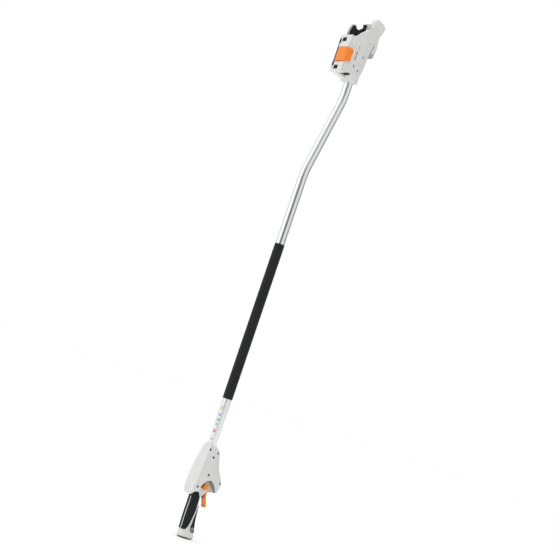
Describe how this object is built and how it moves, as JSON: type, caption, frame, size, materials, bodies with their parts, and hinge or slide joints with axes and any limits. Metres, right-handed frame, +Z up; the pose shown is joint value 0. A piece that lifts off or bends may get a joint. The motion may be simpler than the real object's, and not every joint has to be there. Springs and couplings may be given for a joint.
{
  "type": "extension pole with remote trigger",
  "caption": "Bent aluminium extension pole: pistol grip with cable-worked trigger and lock button at the bottom, tool-holding head with strap clamp and branch hook at the top.",
  "frame": {"origin": "where the lower tube axis meets the flat end of the grip's butt", "axes": "+Z up the lower tube axis towards the head, +X to the trigger side, -Y to the user's right"},
  "size_m": [0.1359, 0.0474, 1.4657],
  "materials": {
    "shell": "satin light grey moulded plastic",
    "orange": "satin orange moulded plastic",
    "soft_black": "matte black soft grip",
    "dark_plastic": "dark grey moulded plastic",
    "tube": "satin drawn tube",
    "steel": "bright steel",
    "dark_steel": "blackened steel",
    "label": null,
    "conduit": "black cable housing"
  },
  "bodies": {
    "pole": {"handle_shell_right": "shell", "handle_shell_left": "shell", "grip_pad_right": "soft_black", "grip_pad_left": "soft_black", "grip_front_pad": "soft_black", "butt_cap": "dark_plastic", "lanyard_eyelet": "steel", "trigger_pivot_pin": "steel", "trigger_return_spring": "steel", "lock_spring": "steel", "lock_spring_seat": "dark_plastic", "shaft_tube": "tube", "cable_conduit": "conduit", "inner_cable": "steel", "grip_sleeve": "soft_black", "safety_label": "label", "lower_tube_plug": "dark_plastic", "upper_tube_plug": "dark_plastic", "cable_anchor": "dark_plastic", "head_shell_right": "shell", "head_shell_left": "shell", "cradle_liner": "dark_plastic", "saddle_liner": "soft_black", "upper_bracket": "shell", "upper_bumper": "soft_black", "lower_bracket": "shell", "lower_bumper": "soft_black", "clamp_hinge_rod": "dark_steel", "strap_keeper": "shell", "actuator_pivot_pin": "steel", "actuator_return_spring": "steel", "branch_hook": "shell", "hook_tip": "dark_plastic", "housing_screws": "steel", "tube_set_screw": "steel", "head_screws": "steel"},
    "trigger_body": {"trigger": "orange", "trigger_cable_nipple": "steel"},
    "lock_body": {"lock_button": "orange"},
    "lever_body": {"actuator_lever": "dark_plastic", "lever_cable_nipple": "steel"},
    "strap_body": {"clamp_strap": "orange"}
  },
  "joints": [
    {"name": "trigger_pull", "type": "hinge", "parent": "pole", "child": "trigger_body", "pos_m": [0.026, 0, 0.14], "axis": [0, 1, 0], "range_deg": [0, 12], "stiffness_Nm_per_rad": 0.6, "springref_deg": -5.73, "deforming": ["inner_cable", "trigger_return_spring"]},
    {"name": "lock_press", "type": "slide", "parent": "pole", "child": "lock_body", "axis": [0, 1, 0], "range_m": [0, 0.004], "stiffness_N_per_m": 300, "springref_m": -0.001, "deforming": ["lock_spring"]},
    {"name": "actuator_swing", "type": "hinge", "parent": "pole", "child": "lever_body", "pos_m": [0.056, 0, 1.362], "axis": [0, -1, 0], "range_deg": [0, 19.2], "stiffness_Nm_per_rad": 0.1, "springref_deg": -5.73, "deforming": ["actuator_return_spring"]},
    {"name": "clamp_open", "type": "hinge", "parent": "pole", "child": "strap_body", "pos_m": [-0.013, 0.0172, 1.3255], "axis": [0, 0, -1], "range_deg": [0, 110]}
  ],
  "couplings": [
    {"joint": "actuator_swing", "follows": "trigger_pull", "ratio": 1.6}
  ]
}
